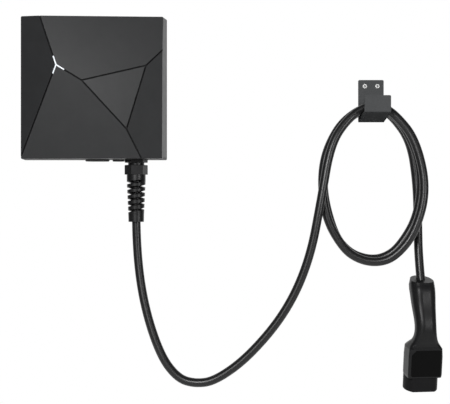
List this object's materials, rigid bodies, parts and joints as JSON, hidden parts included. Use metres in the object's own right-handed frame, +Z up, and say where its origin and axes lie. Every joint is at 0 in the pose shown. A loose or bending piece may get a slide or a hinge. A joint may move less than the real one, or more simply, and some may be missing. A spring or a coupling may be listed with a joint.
{
  "type": "electric vehicle charging wallbox",
  "caption": "Faceted wall box with a pull-off cover and a lit corner mark, a cable looped over a wall hook and a charging connector hanging from it.",
  "frame": {"origin": "centre of the box's four wall screws, on the wall face", "axes": "+X to the right as the box is looked at, +Z up, +Y into the wall"},
  "size_m": [0.6984, 0.108, 0.6236],
  "materials": {
    "cover_plastic": "fine-grained moulded black-grey plastic",
    "housing_plastic": "fine-grained moulded black plastic",
    "light_plastic": "clear white light guide",
    "plug_plastic": "smooth black moulded plastic",
    "gland_plastic": "smooth near-black moulded nylon",
    "seal_rubber": "soft black rubber",
    "circuit_board": "green solder mask",
    "relay_plastic": "glossy black moulded case",
    "module_plastic": "potted black case",
    "tinned_can": "tinned sheet can",
    "capacitor_sleeve": "dark blue shrink sleeve",
    "terminal_plastic": "light grey moulded plastic",
    "zinc_steel": "zinc-plated steel",
    "hook_paint": "satin black-grey powder coat",
    "cable_sheath": "satin black cable sheath",
    "core_brown": "brown core insulation",
    "core_black": "black core insulation",
    "core_grey": "grey core insulation",
    "core_blue": "blue core insulation",
    "core_earth": "green and yellow core insulation",
    "shell_plastic": "soft-touch black plastic",
    "nose_plastic": "plain black moulded plastic",
    "panel_gloss": "polished black panel",
    "silvered_brass": "silver-plated contacts"
  },
  "bodies": {
    "wall_side": {"board_screws": "zinc_steel", "cable_clamp": "plug_plastic", "cable_hook": "hook_paint", "cable_sheath_end": "cable_sheath", "capacitors": "capacitor_sleeve", "charging_cable": "cable_sheath", "clamp_screws": "zinc_steel", "connector_nose": "nose_plastic", "connector_panel": "panel_gloss", "connector_shell": "shell_plastic", "connector_tail": "shell_plastic", "core_black": "core_black", "core_blue": "core_blue", "core_brown": "core_brown", "core_earth": "core_earth", "core_grey": "core_grey", "cover_sockets": "seal_rubber", "gland_body": "gland_plastic", "gland_cap": "gland_plastic", "gland_locknut": "gland_plastic", "gland_seal": "seal_rubber", "hook_screws": "zinc_steel", "housing_seal": "seal_rubber", "input_terminals": "terminal_plastic", "main_board": "circuit_board", "output_terminals": "terminal_plastic", "oval_plug": "plug_plastic", "power_contacts": "silvered_brass", "power_module": "module_plastic", "radio_module": "tinned_can", "rear_housing": "housing_plastic", "relays": "relay_plastic", "residual_current_sensor": "module_plastic", "round_plug": "plug_plastic", "signal_contacts": "silvered_brass", "supply_grommet": "seal_rubber", "terminal_screws": "zinc_steel"},
    "cover": {"front_cover": "cover_plastic", "light_guide": "light_plastic", "led_board": "circuit_board", "led_board_screws": "zinc_steel"}
  },
  "joints": [
    {"name": "cover_pull", "type": "slide", "parent": "wall_side", "child": "cover", "axis": [0, -1, 0], "range_m": [0, 0.1]}
  ]
}
